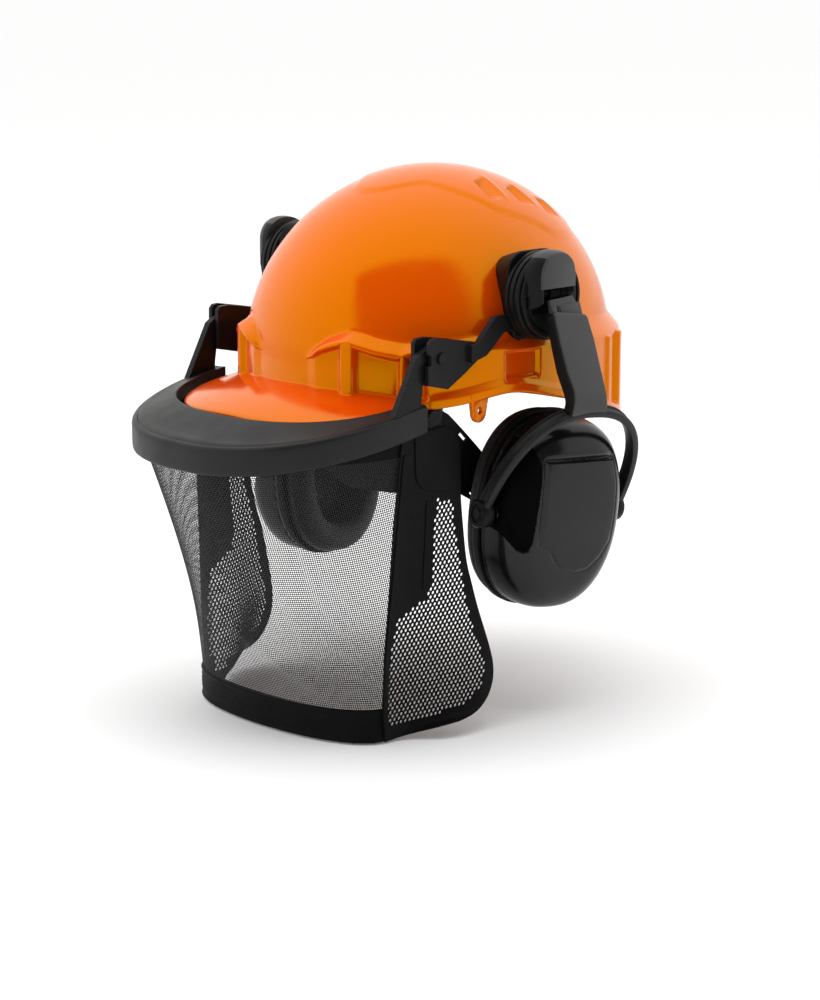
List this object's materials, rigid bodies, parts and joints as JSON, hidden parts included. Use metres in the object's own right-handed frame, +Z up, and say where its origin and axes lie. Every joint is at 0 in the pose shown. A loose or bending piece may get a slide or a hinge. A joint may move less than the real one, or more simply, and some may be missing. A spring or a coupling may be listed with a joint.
{
  "type": "forestry helmet",
  "caption": "Hard safety helmet shell with a flip-up mesh face visor, perforated side wings and a jointed ear muff on each side.",
  "frame": {"origin": "centre of the headband's lower plane, where the head sits", "axes": "+X wearer's left, -Y the way the wearer faces, +Z up towards the crown"},
  "size_m": [0.299, 0.3363, 0.3258],
  "materials": {
    "shell": "glossy",
    "black_plastic": "satin",
    "cup_plastic": "satin",
    "mesh": "woven nylon",
    "wing": "perforated",
    "rubber_trim": "matt",
    "webbing": "woven",
    "sweatband": "brushed",
    "cushion_skin": "soft grain",
    "foam": "open cell",
    "steel": "brushed"
  },
  "bodies": {
    "root": {"shell": "shell", "crown_straps": "webbing", "cradle_clips": "black_plastic", "headband": "black_plastic", "sweatband": "sweatband", "headband_pegs": "black_plastic", "slot_adapter_left": "black_plastic", "slot_adapter_right": "black_plastic", "hub_axle_left": "steel", "hub_axle_right": "steel", "carrier_arm_left": "black_plastic", "carrier_arm_right": "black_plastic", "pivot_pin_left": "steel", "pivot_pin_right": "steel"},
    "visor": {"visor_frame": "black_plastic", "visor_mesh": "mesh", "visor_hem": "rubber_trim", "mesh_pegs": "black_plastic", "visor_arm_left": "black_plastic", "visor_arm_right": "black_plastic", "side_wing_left": "wing", "side_wing_right": "wing"},
    "nape": {"nape_strap": "black_plastic", "nape_pad": "sweatband"},
    "hub_left": {"arm_hub_left": "black_plastic", "hub_spring_left": "steel", "hub_cap_left": "black_plastic", "swing_pin_left": "steel", "clamp_spring_left": "steel"},
    "rails_left": {"arm_rails_left": "black_plastic"},
    "stem_left": {"stem_left": "black_plastic", "yoke_left": "black_plastic", "cup_pivots_left": "black_plastic"},
    "cup_left": {"cup_shell_left": "cup_plastic", "cup_panel_left": "cup_plastic", "cup_ring_left": "black_plastic", "ear_cushion_left": "cushion_skin", "cup_foam_left": "foam"},
    "hub_right": {"arm_hub_right": "black_plastic", "hub_spring_right": "steel", "hub_cap_right": "black_plastic", "swing_pin_right": "steel", "clamp_spring_right": "steel"},
    "rails_right": {"arm_rails_right": "black_plastic"},
    "stem_right": {"stem_right": "black_plastic", "yoke_right": "black_plastic", "cup_pivots_right": "black_plastic"},
    "cup_right": {"cup_shell_right": "cup_plastic", "cup_panel_right": "cup_plastic", "cup_ring_right": "black_plastic", "ear_cushion_right": "cushion_skin", "cup_foam_right": "foam"}
  },
  "joints": [
    {"name": "visor_flip", "type": "hinge", "parent": "root", "child": "visor", "pos_m": [0, -0.0794, 0.0346], "axis": [-1, 0, 0], "range_deg": [0, 108]},
    {"name": "nape_slide", "type": "slide", "parent": "root", "child": "nape", "axis": [0, -0.8601, 0.5101], "range_m": [-0.004, 0.004]},
    {"name": "hub_swivel_left", "type": "hinge", "parent": "root", "child": "hub_left", "pos_m": [0.108, -0.0065, 0.065], "axis": [1, 0, 0], "range_deg": [0, 5]},
    {"name": "arm_swing_left", "type": "hinge", "parent": "hub_left", "child": "rails_left", "pos_m": [0.121, -0.005, 0.069], "axis": [0, -0.9986, -0.0523], "range_deg": [0, 28], "stiffness_Nm_per_rad": 3, "springref_deg": -11.46},
    {"name": "height_slide_left", "type": "slide", "parent": "rails_left", "child": "stem_left", "axis": [0.2588, 0.0506, -0.9646], "range_m": [0, 0.022]},
    {"name": "cup_tilt_left", "type": "hinge", "parent": "stem_left", "child": "cup_left", "pos_m": [0.105, 0.0035, -0.066], "axis": [0.1386, 0.9865, -0.0872], "range_deg": [-8, 8]},
    {"name": "hub_swivel_right", "type": "hinge", "parent": "root", "child": "hub_right", "pos_m": [-0.108, -0.0065, 0.065], "axis": [1, 0, 0], "range_deg": [0, 5]},
    {"name": "arm_swing_right", "type": "hinge", "parent": "hub_right", "child": "rails_right", "pos_m": [-0.121, -0.005, 0.069], "axis": [0, 0.9986, 0.0523], "range_deg": [0, 28], "stiffness_Nm_per_rad": 3, "springref_deg": -11.46},
    {"name": "height_slide_right", "type": "slide", "parent": "rails_right", "child": "stem_right", "axis": [-0.2588, 0.0506, -0.9646], "range_m": [0, 0.022]},
    {"name": "cup_tilt_right", "type": "hinge", "parent": "stem_right", "child": "cup_right", "pos_m": [-0.105, 0.0035, -0.066], "axis": [-0.1386, 0.9865, -0.0872], "range_deg": [-8, 8]}
  ]
}
